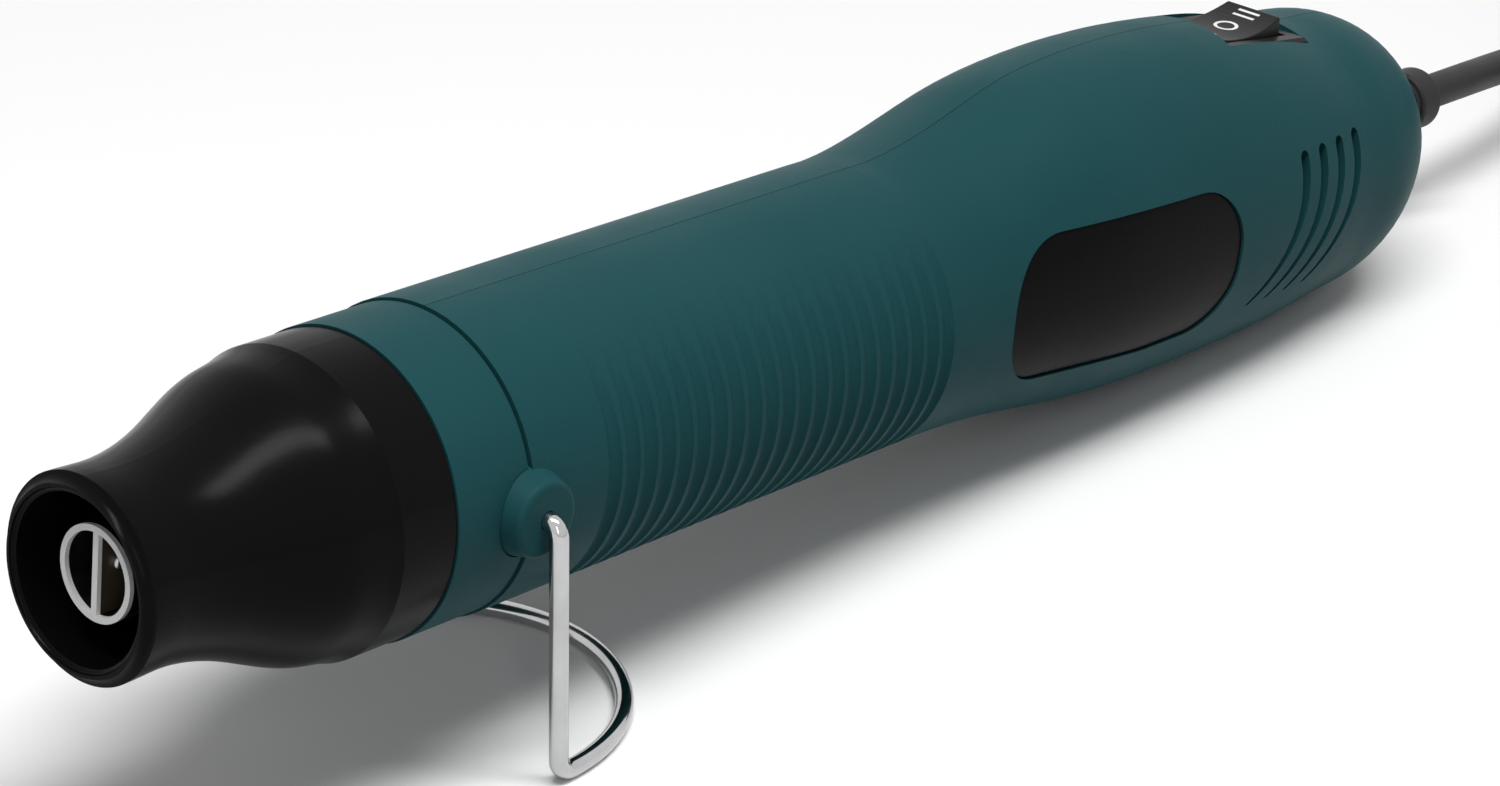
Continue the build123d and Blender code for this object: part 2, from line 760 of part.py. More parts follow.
with BuildPart() as rectifier_board:
    with BuildSketch(Plane.YZ.offset(motor_rear + board_gap)):
        Circle(board_radius)
        with Locations((0, terminal_z), (0, -terminal_z)):
            Rectangle(3.0 + 2 * run_gap, 0.6 + 2 * run_gap, mode=Mode.SUBTRACT)
    extrude(amount=board_thickness)

with BuildPart() as rectifier_diodes:
    with BuildSketch(Plane.XZ.offset(-diode_length / 2)):
        with Locations(*[(motor_rear + board_gap + board_thickness + diode_radius, z) for z in (-4.5, -1.5, 1.5, 4.5)]):
            Circle(diode_radius)
    extrude(amount=diode_length)

# ================================================================ switch
rocker_pivot = switch_plane.from_local_coords((0, 0, -rocker_pivot_depth))
rocker_slope = radians(switch_slope - rocker_throw)
rocker_plane = Plane(
    origin=rocker_pivot, x_dir=(cos(rocker_slope), 0, -sin(rocker_slope)), z_dir=(0, -1, 0)
)
rocker_opening_width = rocker_width + 2 * fit_gap
rocker_half = rocker_opening_length / 2 - 0.8
rocker_skirt = rocker_half + 0.25
rocker_crest = rocker_pivot_depth + 1.4
rocker_valley = rocker_crest - rocker_half * tan(radians(rocker_throw))
rocker_depth = 4.5
trunnion_radius = 1.2
trunnion_length = 0.9

with BuildPart() as switch_frame:
    with BuildSketch(seat_plane):
        Rectangle(bezel_length, bezel_width)
    extrude(amount=bezel_thickness)
    chamfer(switch_frame.edges().group_by(switch_axis)[-1], length=0.5)
    with BuildSketch(seat_plane):
        Rectangle(switch_body_length, switch_body_width)
    extrude(amount=-switch_body_depth)
    with BuildSketch(switch_plane):
        Rectangle(rocker_opening_length, rocker_opening_width)
    extrude(amount=-rocker_pivot_depth - 1.7 * rocker_depth, mode=Mode.SUBTRACT)
    with BuildSketch(Plane(origin=rocker_pivot, z_dir=(0, 1, 0))):
        Circle(trunnion_radius + run_gap)
    extrude(amount=rocker_width / 2 + trunnion_length + fit_gap, both=True, mode=Mode.SUBTRACT)

with BuildPart() as switch_rocker:
    # two level-ended wings in a shallow V, tipped by the throw so that the front one is pressed in
    with BuildSketch(rocker_plane):
        Polygon(
            (-rocker_half, rocker_crest),
            (0, rocker_valley),
            (rocker_half, rocker_crest),
            (rocker_skirt, rocker_crest / 3),
            (rocker_skirt, -rocker_depth / 4),
            (2 * rocker_skirt / 3, -rocker_depth),
            (-2 * rocker_skirt / 3, -rocker_depth),
            (-rocker_skirt, -rocker_depth / 4),
            (-rocker_skirt, rocker_crest / 3),
            align=None,
        )
    extrude(amount=rocker_width / 2, both=True)
    # flanks bowed outwards in plan
    with BuildSketch(Plane(rocker_pivot, x_dir=rocker_plane.x_dir, z_dir=rocker_plane.y_dir)):
        with BuildLine():
            near = ThreePointArc(
                (-rocker_skirt, -rocker_end_width / 2), (0, -rocker_width / 2), (rocker_skirt, -rocker_end_width / 2)
            )
            far = ThreePointArc(
                (rocker_skirt, rocker_end_width / 2), (0, rocker_width / 2), (-rocker_skirt, rocker_end_width / 2)
            )
            Line(near @ 1, far @ 0)
            Line(far @ 1, near @ 0)
        make_face()
    extrude(amount=2 * rocker_depth, both=True, mode=Mode.INTERSECT)
    with BuildSketch(Plane(origin=rocker_pivot, z_dir=(0, 1, 0))):
        Circle(trunnion_radius)
    extrude(amount=rocker_width / 2 + trunnion_length, both=True)

with BuildPart() as switch_terminals:
    with BuildSketch(seat_plane.offset(-switch_body_depth)):
        with GridLocations(terminal_pitch, 0, 3, 1):
            Rectangle(terminal_thickness, terminal_width)
    extrude(amount=-terminal_length)

# ================================================================ strain relief and the cord inside
relief_seat = tail_end - 2 * wall - fit_gap
relief_flange = 1.6
slot_ring = 1.3
relief_collar_length = 5.0
relief_neck = tail_end + 1.5
with BuildPart() as strain_relief:
    with BuildSketch(Plane.YZ.offset(relief_seat)):
        Circle(relief_radius)
    extrude(amount=relief_end - relief_seat)
    with BuildSketch(Plane.YZ.offset(relief_seat)):
        Circle(relief_flange_radius)
    extrude(amount=-relief_flange)
    with BuildSketch(Plane.YZ.offset(relief_end)):
        Circle(relief_collar_radius)
    extrude(amount=-relief_collar_length)
    collar_rims = strain_relief.edges().filter_by(GeomType.CIRCLE)
    collar_rims = collar_rims.filter_by(lambda e: abs(e.radius - relief_collar_radius) < 0.01)
    fillet(collar_rims, radius=0.6)
    # short slots that let it bend, turned by a quarter from row to row
    for row in range(slot_rows):
        with BuildSketch(Plane.YZ.offset(relief_neck + row * 2 * slot_ring)):
            Circle(2 * relief_radius)
            Circle(relief_radius - 1.2, mode=Mode.SUBTRACT)
            Rectangle(*(2.6, 4 * relief_radius) if row % 2 else (4 * relief_radius, 2.6), mode=Mode.SUBTRACT)
        extrude(amount=slot_ring, mode=Mode.SUBTRACT)

with BuildPart() as inner_cord:
    with BuildSketch(Plane.YZ.offset(relief_seat - relief_flange)):
        Circle(cord_radius)
    extrude(amount=-(relief_seat - relief_flange - clamp_x + 4))

with BuildPart() as cord_clamp:
    with BuildSketch(Plane.XZ.offset(-cord_radius - run_gap)):
        with Locations((clamp_middle, 0)):
            SlotOverall(2 * (clamp_post_z + clamp_post_radius), clamp_length, rotation=90)
        with Locations(*clamp_posts):
            Circle(clamp_screw_radius + run_gap, mode=Mode.SUBTRACT)
    extrude(amount=-clamp_thickness)

with BuildPart() as clamp_screws:
    with BuildSketch(Plane.XZ.offset(-cord_radius - run_gap - clamp_thickness)):
        with Locations(*clamp_posts):
            Circle(1.9 * clamp_screw_radius)
    extrude(amount=-1.2 * clamp_screw_radius)
    with BuildSketch(Plane.XZ.offset(-cord_radius - run_gap - clamp_thickness)):
        with Locations(*clamp_posts):
            Circle(clamp_screw_radius)
    extrude(amount=clamp_thickness + 1.6 * cord_radius)

# ================================================================ standing on the table
tilt = Location((0, 0, 0), (0, 1, 0), lean)
tilted_front = (tilt * nozzle.part).bounding_box().min.X
tilted_rear = (tilt * strain_relief.part).bounding_box().max.X
tilted_foot = (tilt * Location(foot_front)).position.Z
stance = Location((-(tilted_front + tilted_rear) / 2, 0, wire_radius - tilted_foot)) * tilt

# ================================================================ cord, coil and plug on the table
cord_exit = (stance * Location((relief_end, 0, 0))).position
cord_heading = (stance * Location((relief_end + 1, 0, 0))).position - cord_exit
lay_z = cord_radius + tie_thickness + 0.2
coil_pitch = 2 * cord_radius + coil_room
coil_start = Vector(248.5, 22.5, lay_z)
coil_lead = 2 * cord_radius
cord_points = [
    cord_exit,
    cord_exit + cord_heading * cord_straight,
    Vector(203, 9.0, 9.0),
    Vector(229.5, 22.5, lay_z),
    coil_start,
]


def arc_radii(points):
    """The largest tidy radius at each corner: 0.45 of the shorter run over the half turn's tangent."""
    radii = []
    for before, corner, after in zip(points, points[1:], points[2:]):
        first = corner - before
        second = after - corner
        half_turn = radians(first.get_angle(second)) / 2
        radii.append(0.45 * min(first.length, second.length) / tan(half_turn))
    return radii


cord_radii = arc_radii(cord_points)
print("cord radii", [round(radius, 1) for radius in cord_radii])

with BuildPart() as power_cord:
    with BuildLine() as cord_path:
        FilletPolyline(*cord_points, radius=cord_radii)
    with BuildSketch(Plane(cord_points[0], z_dir=cord_points[1] - cord_points[0])):
        Circle(cord_radius)
    sweep(path=cord_path.wires()[0])
cord_length = cord_path.wires()[0].length
print("cord length", round(cord_length, 1), "tube volume share",
      round(power_cord.part.volume / (pi * cord_radius ** 2 * cord_length), 4))

# The coil has four layers. It spirals in and out twice, climbs one layer in the half turn of each
# reversal, and its last turn rises over the layers to the plug that lies on them.
inward = [coil_radius - (i + 1) * coil_pitch / 2 for i in range(coil_steps)]
coil_inner_radius = coil_radius - (coil_steps + 1) * coil_pitch / 2
coil_turns = [(coil_radius, 0)]
for layers in (0, 1):
    coil_turns += [(radius, 0) for radius in inward]
    coil_turns += [(coil_inner_radius, coil_pitch)]
    coil_turns += [(radius, 0) for radius in reversed(inward)]
    coil_turns += [(coil_radius, coil_pitch)]
coil_crest = lay_z + 3.5 * coil_pitch + cord_radius
plug_z = coil_crest + coil_clearance + plug_height / 2
coil_turns += [(coil_last_radius, plug_z - lay_z - 4 * coil_pitch)]

with BuildPart() as cord_coil:
    with BuildLine() as coil_path:
        here = coil_start + Vector(coil_lead, 0, 0)
        coil_middle = here - Vector(0, coil_radius, 0)
        Line(coil_start, here)
        side = 1
        for radius, rise in coil_turns:
            # a half turn, in a plane that is tilted by its rise and level at both its ends
            there = here + Vector(0, -2 * radius * side, rise)
            reach = hypot(radius, rise / 2)
            ThreePointArc(here, (here + there) / 2 + Vector(reach * side, 0, 0), there)
            here = there
            side = -side
        coil_end = here + Vector(coil_lead * side, 0, 0)
        Line(here, coil_end)
    with BuildSketch(Plane(coil_start, z_dir=(1, 0, 0))):
        Circle(cord_radius)
    sweep(path=coil_path.wires()[0])
coil_length = coil_path.wires()[0].length
print("coil length", round(coil_length, 1), "tube volume share",
      round(cord_coil.part.volume / (pi * cord_radius ** 2 * coil_length), 4))

# the coil's least gap to itself, on points more than one and a half diameters apart along it
coil_wire = coil_path.wires()[0]
coil_samples = [coil_wire @ (i / 1100) for i in range(1101)]
sample_step = coil_length / 1100
skip = int(3 * cord_radius / sample_step) + 1
coil_gap = min(
    (here - there).length
    for i, here in enumerate(coil_samples)
    for there in coil_samples[i + skip:]
) - 2 * cord_radius
print("least gap of the coil to itself", round(coil_gap, 2))

bundle_outer = inward[0] + cord_radius
bundle_inner = inward[-1] - cord_radius
tie_height = 2 * lay_z + 3 * coil_pitch
tie_outer = bundle_outer - bundle_inner + 2 * tie_room
with BuildPart() as cord_tie:
    # strap round the four layers on the side of the tool, under the last turn
    with BuildSketch(Plane.XZ.offset(-coil_middle.Y + tie_width / 2)):
        with Locations((coil_middle.X - (bundle_outer + bundle_inner) / 2, tie_height / 2)):
            RectangleRounded(tie_outer, tie_height, tie_rounding)
            RectangleRounded(
                tie_outer - 2 * tie_thickness,
                tie_height - 2 * tie_thickness,
                tie_rounding - tie_thickness,
                mode=Mode.SUBTRACT,
            )
    extrude(amount=-tie_width)

plug_plane = Plane(coil_end, x_dir=(0, 1, 0), z_dir=(side, 0, 0))
with BuildPart() as plug_body:
    # moulded two-pin plug lying on the coil, narrowing towards its cord
    with BuildSketch(plug_plane):
        RectangleRounded(11.0, 10.0, 3.5)
    with BuildSketch(plug_plane.offset(plug_length / 2)):
        RectangleRounded(plug_width, plug_height, 4.5)
    loft(ruled=True)
    with BuildSketch(plug_plane.offset(plug_length / 2)):
        RectangleRounded(plug_width, plug_height, 4.5)
    extrude(amount=plug_length / 2)
    fillet(plug_body.faces().sort_by(Axis(coil_end, (side, 0, 0)))[-1].edges(), radius=1.0)

with BuildPart() as plug_blades:
    with BuildSketch(plug_plane.offset(plug_length)):
        with GridLocations(blade_spacing, 0, 2, 1):
            Rectangle(blade_metal, blade_width)
    extrude(amount=blade_length)

# ================================================================ cores inside the handle
def wire_run(points, radius, bend):
    """An insulated core along a bent line."""
    with BuildPart() as core:
        with BuildLine() as run:
            FilletPolyline(*points, radius=bend)
        with BuildSketch(Plane(run.wires()[0] @ 0, z_dir=run.wires()[0] % 0)):
            Circle(radius)
        sweep(path=run.wires()[0])
    return core


terminal_tips = [
    seat_plane.offset(-switch_body_depth - terminal_length / 2).from_local_coords((i * terminal_pitch, 0, 0))
    for i in (-1, 0, 1)
]
cord_start = clamp_x - 4
rear_tip = terminal_tips[2] + Vector(terminal_thickness / 2 + 2 * fit_gap, 0, 0)
board_face = motor_rear + board_gap + board_thickness
with BuildPart() as cord_cores:
    # one core to the rear terminal of the switch, the other past it to the rectifier board
    live_run = [
        Vector(cord_start, 0, 1.3),
        Vector(cord_start - 5, 0, 1.3),
        Vector(rear_tip.X + 5, 0, rear_tip.Z),
        rear_tip,
    ]
    neutral_run = [
        Vector(cord_start, 0, -1.3),
        Vector(cord_start - 6, 0, -1.3),
        Vector(cord_start - 12, 6, -7),
        Vector(board_face, 6, -7),
    ]
    for run_points in (live_run, neutral_run):
        add(wire_run(run_points, core_wire, 1.5).part)

# ================================================================ export
on_table = {
    "power_cord": power_cord,
    "cord_coil": cord_coil,
    "cord_tie": cord_tie,
    "plug_body": plug_body,
    "plug_blades": plug_blades,
}
in_tool = {
    "housing_left": housing_left,
    "housing_right": housing_right,
    "housing_screws": housing_screws,
    "label_plate": label_plate,
    "front_collar": front_collar,
    "nozzle": nozzle,
    "stand": stand,
    "mica_sleeve": mica_sleeve,
    "former_upright": former_upright,
    "former_level": former_level,
    "heating_element": heating_element,
    "core_tube": core_tube,
    "core_guard": core_guard,
    "core_rivet": core_rivet,
    "thermal_cutout": thermal_cutout,
    "thermal_fuse": thermal_fuse,
    "heater_disc": heater_disc,
    "motor_bracket": motor_bracket,
    "bracket_screws": bracket_screws,
    "motor_can": motor_can,
    "motor_magnets": motor_magnets,
    "armature": armature,
    "motor_end_cap": motor_end_cap,
    "motor_shaft": motor_shaft,
    "fan": fan,
    "rectifier_board": rectifier_board,
    "rectifier_diodes": rectifier_diodes,
    "switch_frame": switch_frame,
    "switch_rocker": switch_rocker,
    "switch_terminals": switch_terminals,
    "strain_relief": strain_relief,
    "inner_cord": inner_cord,
    "cord_clamp": cord_clamp,
    "clamp_screws": clamp_screws,
    "cord_cores": cord_cores,
}
for name, piece in in_tool.items():
    piece.part.locate(stance * piece.part.location)
for name, piece in {**in_tool, **on_table}.items():
    piece.part.label = name
    export_step(piece.part, f"parts/{name}.step")

print("stance", stance)
print("stand pivot", (stance * Location((stand_x, 0, 0))).position)
print("rocker pivot", (stance * Location(rocker_pivot)).position)
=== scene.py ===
import json
from math import cos, hypot, pi, radians, sin

import bmesh
import bpy
from mathutils import Matrix, Vector


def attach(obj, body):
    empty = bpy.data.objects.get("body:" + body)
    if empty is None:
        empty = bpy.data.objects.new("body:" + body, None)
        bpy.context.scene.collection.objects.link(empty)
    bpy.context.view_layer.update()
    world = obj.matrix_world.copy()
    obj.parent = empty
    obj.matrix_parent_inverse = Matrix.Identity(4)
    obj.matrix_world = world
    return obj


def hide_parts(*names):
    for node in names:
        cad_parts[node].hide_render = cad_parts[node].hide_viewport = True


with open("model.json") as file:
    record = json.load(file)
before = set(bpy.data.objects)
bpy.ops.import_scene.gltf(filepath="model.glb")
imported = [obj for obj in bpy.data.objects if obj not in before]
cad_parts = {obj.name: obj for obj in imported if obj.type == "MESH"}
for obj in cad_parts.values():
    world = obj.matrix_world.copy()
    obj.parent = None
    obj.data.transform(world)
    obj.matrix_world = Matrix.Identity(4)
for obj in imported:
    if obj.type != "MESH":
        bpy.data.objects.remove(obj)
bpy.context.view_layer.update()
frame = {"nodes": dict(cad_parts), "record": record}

MM = 0.001

# ---------------------------------------------------------------- attitude of the tool on the table
LEAN = radians(3.94029)
STANCE_SHIFT = Vector((-96.9265, 0, 36.6461)) * MM
STANCE = Matrix.Translation(STANCE_SHIFT) @ Matrix.Rotation(LEAN, 4, "Y")


def at_tool(x, y, z):
    """A point of the tool's own axes, in millimetres, as a point on the table in metres."""
    return STANCE @ (Vector((x, y, z)) * MM)


# ---------------------------------------------------------------- camera
PHOTO_WIDTH_PX = 1500
FOCAL_LENGTH_PX = 4230.657
SENSOR_WIDTH = 36.0
NEAREST, FARTHEST = 0.01, 20
# fitted in the tool's own axes: the place in millimetres, and the turn as axis times angle
CAMERA_PLACE = (-324.871, -321.330, 211.915)
CAMERA_TURN = Vector((1.873743, -0.789426, 0.637757))

camera_data = bpy.data.cameras.new("camera")
camera_data.sensor_fit = "HORIZONTAL"
camera_data.sensor_width = SENSOR_WIDTH
camera_data.lens = SENSOR_WIDTH * FOCAL_LENGTH_PX / PHOTO_WIDTH_PX
camera_data.clip_start = NEAREST
camera_data.clip_end = FARTHEST
camera = bpy.data.objects.new("camera", camera_data)
bpy.context.scene.collection.objects.link(camera)
seen = Matrix.Rotation(CAMERA_TURN.length, 3, CAMERA_TURN.normalized())
right, down, forward = (STANCE.to_3x3() @ row for row in seen)
camera_axes = Matrix((right, -down, -forward)).transposed().to_4x4()
camera.matrix_world = Matrix.Translation(at_tool(*CAMERA_PLACE)) @ camera_axes
bpy.context.scene.camera = camera

# ---------------------------------------------------------------- cord, in millimetres
CORD_RADIUS = 2.75
LAY_Z = CORD_RADIUS + 1.1
EXIT_X = 236
STRAIGHT_RUN = 33
COIL_PITCH = 2 * CORD_RADIUS + 0.5
COIL_RADIUS = 34.0
COIL_STEPS = 3
COIL_LAST_RADIUS = 25.0
COIL_START = Vector((248.5, 22.5, LAY_Z))
COIL_LEAD = 2 * CORD_RADIUS
COIL_CLEARANCE = 0.3
PLUG_HEIGHT = 19.0
# points of each half turn, and how far outside the circle they stand: the spline runs inside them
STEPS = 12
SWELL = 1 / (0.75 + 0.25 * cos(pi / STEPS))

cord_exit = at_tool(EXIT_X, 0, 0) / MM
heading = (at_tool(EXIT_X + 1, 0, 0) - at_tool(EXIT_X, 0, 0)) / MM
route = [
    cord_exit,
    cord_exit + heading * STRAIGHT_RUN,
    Vector((203, 9.0, 9.0)),
    Vector((229.5, 22.5, LAY_Z)),
    COIL_START,
]

# half turns as radius and rise. Four layers go in and out twice, a layer higher at each reversal,
# and a last half turn goes up to the plug
inward = [COIL_RADIUS - (i + 1) * COIL_PITCH / 2 for i in range(COIL_STEPS)]
inner_radius = COIL_RADIUS - (COIL_STEPS + 1) * COIL_PITCH / 2
turns = [(COIL_RADIUS, 0)]
for _ in range(2):
    turns += [(radius, 0) for radius in inward]
    turns += [(inner_radius, COIL_PITCH)]
    turns += [(radius, 0) for radius in reversed(inward)]
    turns += [(COIL_RADIUS, COIL_PITCH)]
plug_z = LAY_Z + 3.5 * COIL_PITCH + CORD_RADIUS + COIL_CLEARANCE + PLUG_HEIGHT / 2
turns += [(COIL_LAST_RADIUS, plug_z - LAY_Z - 4 * COIL_PITCH)]

here = COIL_START + Vector((COIL_LEAD, 0, 0))
side = 1
for radius, rise in turns:
    middle = here + Vector((0, -radius * side, rise / 2))
    reach = hypot(radius, rise / 2)
    for i in range(STEPS):
        angle = pi * (i + 0.5) / STEPS
        back = (here - middle) * cos(angle) * SWELL
        across = Vector((reach * side, 0, 0)) * sin(angle) * SWELL
        route.append(middle + back + across)
    here = here + Vector((0, -2 * radius * side, rise))
    side = -side
route += [here + Vector((COIL_LEAD * side * share, 0, 0)) for share in (0.5, 1.0)]

cord_curve = bpy.data.curves.new("mains_cord", "CURVE")
cord_curve.dimensions = "3D"
cord_curve.resolution_u = 8
# the points carry the radius, so that the curve's box is the cord's own
cord_curve.bevel_depth = 1.0
cord_curve.bevel_resolution = 5
cord_curve.use_fill_caps = True
spline = cord_curve.splines.new("NURBS")
spline.points.add(len(route) - 1)
for point, place in zip(spline.points, route):
    point.co = (*(place * MM), 1)
    point.radius = CORD_RADIUS * MM
spline.order_u = 3
spline.use_endpoint_u = True
mains_cord = bpy.data.objects.new("mains_cord", cord_curve)
bpy.context.scene.collection.objects.link(mains_cord)
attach(mains_cord, "tool")
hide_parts("power_cord", "cord_coil")


# ---------------------------------------------------------------- materials
def material(name):
    made = bpy.data.materials.new(name)
    made.use_nodes = True
    tree = made.node_tree
    shader = tree.nodes["Principled BSDF"]
    return made, tree, shader


def node(tree, kind, **values):
    """A node with its inputs, or else its settings, set by name."""
    made = tree.nodes.new(kind)
    for key, value in values.items():
        if key in made.inputs:
            made.inputs[key].default_value = value
        else:
            setattr(made, key, value)
    return made


def noise(tree, scale, detail=4.0, roughness=0.55, stretch=(1, 1, 1)):
    """Noise in object space, so it keeps its size on every piece."""
    place = node(tree, "ShaderNodeTexCoord")
    mapping = node(tree, "ShaderNodeMapping", Scale=stretch)
    made = node(tree, "ShaderNodeTexNoise", Scale=scale, Detail=detail, Roughness=roughness)
    tree.links.new(place.outputs["Object"], mapping.inputs["Vector"])
    tree.links.new(mapping.outputs["Vector"], made.inputs["Vector"])
    return made.outputs["Fac"]


def spread(tree, value, low, high, start=0.3, end=0.7):
    """The value's stretch from start to end, as a number from low to high."""
    made = node(tree, "ShaderNodeMapRange")
    limits = {"From Min": start, "From Max": end, "To Min": low, "To Max": high}
    for key, number in limits.items():
        made.inputs[key].default_value = number
    tree.links.new(value, made.inputs["Value"])
    return made.outputs["Result"]


def colour_mix(tree, share):
    """A mix of two colours by a share: its two colour inputs and its result."""
    made = node(tree, "ShaderNodeMix", data_type="RGBA")
    sockets = {socket.identifier: socket for socket in (*made.inputs, *made.outputs)}
    tree.links.new(share, sockets["Factor_Float"])
    return sockets["A_Color"], sockets["B_Color"], sockets["Result_Color"]


def blend_colours(tree, share, first, second):
    low, high, result = colour_mix(tree, share)
    low.default_value = (*first, 1)
    high.default_value = (*second, 1)
    return result


def bump(tree, shader, height, distance):
    made = node(tree, "ShaderNodeBump", Strength=1.0, Distance=distance)
    tree.links.new(height, made.inputs["Height"])
    tree.links.new(made.outputs["Normal"], shader.inputs["Normal"])


# scales of the noise, in turns per metre
PLASTIC_DRIFT, PLASTIC_GLOSS, PLASTIC_GRAIN = 22, 60, 2600
METAL_DRIFT, METAL_GLOSS, METAL_GRAIN = 180, 900, 3000


def moulded(name, dark, light, rough, grain=0.00003, grain_scale=PLASTIC_GRAIN, specular=0.5):
    """Moulded plastic: a fine grain, a slow drift of colour and of gloss."""
    made, tree, shader = material(name)
    drift = noise(tree, PLASTIC_DRIFT, 3)
    shade = blend_colours(tree, spread(tree, drift, 0, 1), dark, light)
    gloss = spread(tree, noise(tree, PLASTIC_GLOSS, 4), *rough)
    tree.links.new(shade, shader.inputs["Base Color"])
    tree.links.new(gloss, shader.inputs["Roughness"])
    bump(tree, shader, noise(tree, grain_scale, 2, 0.6), grain)
    shader.inputs["Specular IOR Level"].default_value = specular
    return made


def metal(name, dark, light, rough, grain=0.00001, stretch=(1, 1, 1)):
    """Metal: a fine drift of colour and of gloss, stretched where it is laid in sheets."""
    made, tree, shader = material(name)
    drift = noise(tree, METAL_DRIFT, 5, stretch=stretch)
    shade = blend_colours(tree, spread(tree, drift, 0, 1), dark, light)
    gloss = spread(tree, noise(tree, METAL_GLOSS, 4, stretch=stretch), *rough)
    tree.links.new(shade, shader.inputs["Base Color"])
    shader.inputs["Metallic"].default_value = 1.0
    tree.links.new(gloss, shader.inputs["Roughness"])
    bump(tree, shader, noise(tree, METAL_GRAIN, 3, stretch=stretch), grain)
    return made


looks = {
    "handle": moulded(
        "handle_teal", (0.0095, 0.055, 0.061), (0.0115, 0.063, 0.071), (0.42, 0.52),
        specular=0.05,
    ),
    "inlay": moulded(
        "inlay_black", (0.0025, 0.0025, 0.003), (0.004, 0.004, 0.0045), (0.24, 0.32),
        grain=0.00001, specular=0.03,
    ),
    "nozzle_black": moulded(
        "nozzle_gloss_black", (0.0025, 0.0025, 0.003), (0.004, 0.004, 0.0045), (0.20, 0.27),
        grain=0.000008, grain_scale=900, specular=0.04,
    ),
    "chrome_wire": metal(
        "chrome", (0.42, 0.42, 0.425), (0.52, 0.52, 0.525), (0.05, 0.11), grain=0.000004
    ),
    "screw_steel": metal("zinc_screws", (0.42, 0.42, 0.42), (0.60, 0.60, 0.60), (0.25, 0.40)),
    "mica": moulded(
        "mica_card", (0.030, 0.024, 0.016), (0.060, 0.046, 0.030), (0.35, 0.55),
        grain=0.00006, grain_scale=700,
    ),
    "element_wire": metal(
        "resistance_wire", (0.30, 0.29, 0.28), (0.45, 0.43, 0.41), (0.30, 0.45)
    ),
    "core_metal": metal("core_steel", (0.05, 0.048, 0.045), (0.10, 0.095, 0.09), (0.35, 0.48)),
    "guard_white": moulded(
        "guard_ceramic", (0.84, 0.85, 0.84), (0.90, 0.91, 0.90), (0.45, 0.60),
        grain=0.00004, grain_scale=1400,
    ),
    "bright_tin": metal("tinned", (0.55, 0.55, 0.55), (0.72, 0.72, 0.72), (0.22, 0.35)),
    "inner_black": moulded(
        "inner_black", (0.012, 0.012, 0.012), (0.02, 0.02, 0.02), (0.45, 0.6)
    ),
    "zinc_steel": metal("zinc_steel", (0.42, 0.42, 0.43), (0.58, 0.58, 0.60), (0.28, 0.40)),
    "magnet": moulded("ferrite", (0.02, 0.02, 0.02), (0.04, 0.04, 0.04), (0.55, 0.7)),
    "lamination": metal(
        "laminations", (0.28, 0.22, 0.18), (0.45, 0.36, 0.30), (0.30, 0.45),
        grain=0.00002, stretch=(40, 1, 1),
    ),
    "cap_white": moulded("cap_white", (0.60, 0.60, 0.56), (0.70, 0.70, 0.66), (0.45, 0.55)),
    "fan_grey": moulded("fan_grey", (0.06, 0.06, 0.065), (0.09, 0.09, 0.095), (0.40, 0.55)),
    "board": moulded("paper_board", (0.20, 0.12, 0.05), (0.28, 0.18, 0.08), (0.50, 0.65)),
    "diode_black": moulded(
        "diode_black", (0.008, 0.008, 0.008), (0.014, 0.014, 0.014), (0.35, 0.5)
    ),
    "switch_black": moulded(
        "switch_black", (0.0055, 0.0055, 0.006), (0.0085, 0.0085, 0.009), (0.34, 0.44),
        grain=0.00002, grain_scale=3000, specular=0.12,
    ),
    "brass": metal("brass", (0.55, 0.38, 0.15), (0.74, 0.55, 0.25), (0.18, 0.32)),
    "cord_rubber": moulded(
        "cord_jacket", (0.012, 0.012, 0.0125), (0.020, 0.020, 0.021), (0.42, 0.56),
        grain=0.00004, grain_scale=1500, specular=0.2,
    ),
    "core_white": moulded("core_white", (0.55, 0.55, 0.53), (0.68, 0.68, 0.66), (0.45, 0.55)),
    "mark_white": moulded(
        "mark_white", (0.72, 0.72, 0.71), (0.82, 0.82, 0.81), (0.40, 0.55),
        grain=0.00001, grain_scale=4000,
    ),
    "tie_black": moulded("tie_black", (0.010, 0.010, 0.010), (0.018, 0.018, 0.018), (0.6, 0.75)),
}
slot_of = {part["node"]: part["material_slot"] for part in frame["record"]["subparts"]}
for name, piece in frame["nodes"].items():
    piece.data.materials.clear()
    piece.data.materials.append(looks[slot_of[name]])
mains_cord.data.materials.append(looks["cord_rubber"])

# ---------------------------------------------------------------- rocker and its marks
joints = frame["record"]["behaviour"]["joints"]
ROCKER_PIVOT = Vector(next(joint["pos_m"] for joint in joints if joint["name"] == "rocker_tilt"))
SWITCH_SLOPE = radians(6.7)
ROCKER_THROW = radians(10)
ROCKER_TURN = Matrix.Rotation(LEAN + SWITCH_SLOPE - ROCKER_THROW, 3, "Y")
# millimetres from the pivot. The top is hollow along the switch, lowest over the pivot
HOLLOW_HEIGHT = 3.65
HOLLOW_RADIUS = 28.4
TOP_PLACES = (-7.1, -6.0, -4.8, -3.6, -2.4, -1.2, 0.0, 1.2, 2.4, 3.6, 4.8, 6.0, 7.1)
SKIRT_PLACE = 7.35
SKIRT_TOP = 1.47
SKIRT_LOW = -1.1
BOTTOM_HEIGHT = -4.4
BOTTOM_PLACES = (4.9, 3.6, 2.4, 1.2, 0.0, -1.2, -2.4, -3.6, -4.9)
MIDDLE_WIDTH = 10.2
END_WIDTH = 9.3
EDGE_ROUND = 0.22
EDGE_ANGLE = radians(35)
# the print goes into the top and stands on it by these
PRINT_SUNK = 0.05
PRINT_PROUD = 0.03
BAR_HALF_WIDTH = 0.26
BAR_HALF_LENGTH = 1.84
BAR_PLACES = {"mark_one": -5.24, "mark_two_a": 4.36, "mark_two_b": 5.81}
RING_RADII = (1.83, 1.31)
RING_POINTS = 48


